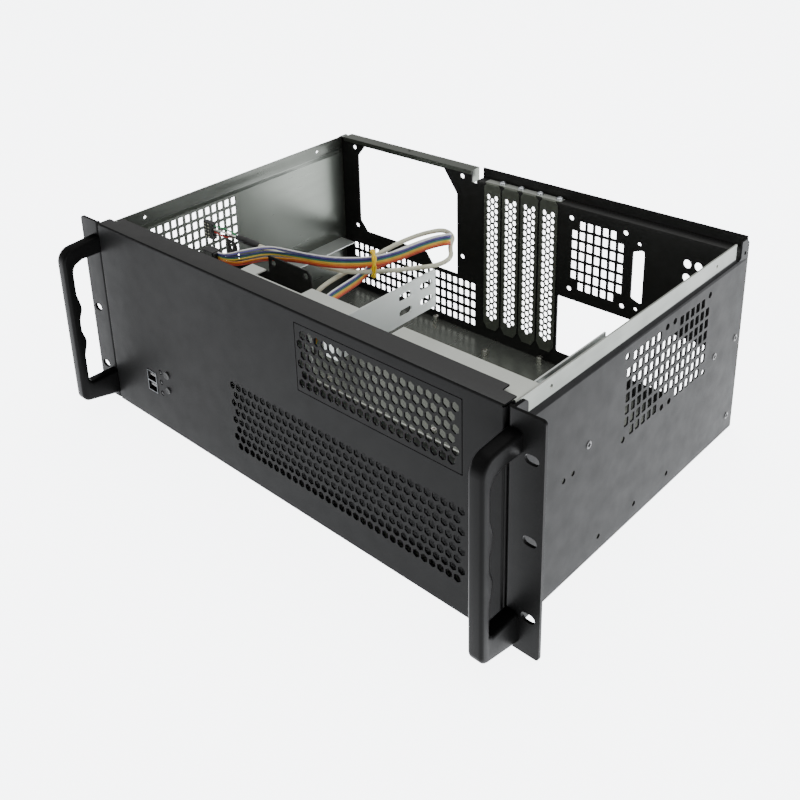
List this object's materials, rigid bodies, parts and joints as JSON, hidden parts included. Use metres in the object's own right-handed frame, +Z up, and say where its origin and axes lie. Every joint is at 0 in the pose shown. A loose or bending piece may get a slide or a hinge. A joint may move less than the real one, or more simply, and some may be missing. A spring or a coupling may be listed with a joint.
{
  "type": "empty rackmount server case",
  "caption": "Open-topped rackmount server case with vented front bezel, ears with handles, cut rear panel, slot covers and front leads.",
  "frame": {"origin": "middle of the case's footprint, handles included, on the underside", "axes": "+X to the right seen from the front, +Y to the back, +Z up"},
  "size_m": [0.4826, 0.354, 0.1772],
  "materials": {
    "case_paint": "fine satin black powder coat",
    "ear_paint": "satin black powder coat",
    "handle_black": "satin black cast handle",
    "inner_steel": "zinc coated steel sheet",
    "bright_steel": "zinc coated steel, bright edge",
    "screw_zinc": "bright zinc screws",
    "black_screw": "black oxide screws",
    "brass_post": "nickel plated brass standoffs",
    "foam": "open cell filter foam",
    "board": "green solder mask",
    "black_plastic": "black moulded plastic",
    "lens": "clear lens",
    "ribbon": "coloured ribbon insulation",
    "pale_cable": "pale grey cable jacket",
    "wire": "thin coloured wires",
    "yellow_tie": "yellow plastic tie"
  },
  "bodies": {
    "case": {"chassis_tray": "case_paint", "front_frame": "bright_steel", "front_panel": "case_paint", "vent_insert": "case_paint", "dust_filter": "foam", "ear_left": "ear_paint", "ear_right": "ear_paint", "ear_screws": "black_screw", "handle_left": "handle_black", "handle_right": "handle_black", "handle_screws": "screw_zinc", "io_board": "board", "usb_ports": "screw_zinc", "led_lenses": "lens", "switch_bodies": "black_plastic", "lead_header": "black_plastic", "rear_panel": "case_paint", "rear_top_rail": "bright_steel", "slot_cover_1": "bright_steel", "slot_cover_2": "bright_steel", "slot_cover_3": "bright_steel", "slot_cover_4": "bright_steel", "slot_screws": "screw_zinc", "standoffs": "brass_post", "drive_bracket": "inner_steel", "drive_rail": "inner_steel", "drive_cage": "case_paint", "psu_shelf": "inner_steel", "case_screws": "black_screw", "ribbon_cable": "ribbon", "ribbon_plug": "black_plastic", "data_cable": "pale_cable", "data_sleeve": "black_plastic", "data_wires": "wire", "data_plug": "black_plastic", "twist_tie": "yellow_tie"},
    "power_key": {"power_button": "black_plastic"},
    "reset_key": {"reset_button": "black_plastic"}
  },
  "joints": [
    {"name": "power_press", "type": "slide", "parent": "case", "child": "power_key", "axis": [0, 1, 0], "range_m": [0, 0.001], "stiffness_N_per_m": 300, "springref_m": -0.0005},
    {"name": "reset_press", "type": "slide", "parent": "case", "child": "reset_key", "axis": [0, 1, 0], "range_m": [0, 0.001], "stiffness_N_per_m": 300, "springref_m": -0.0005}
  ]
}
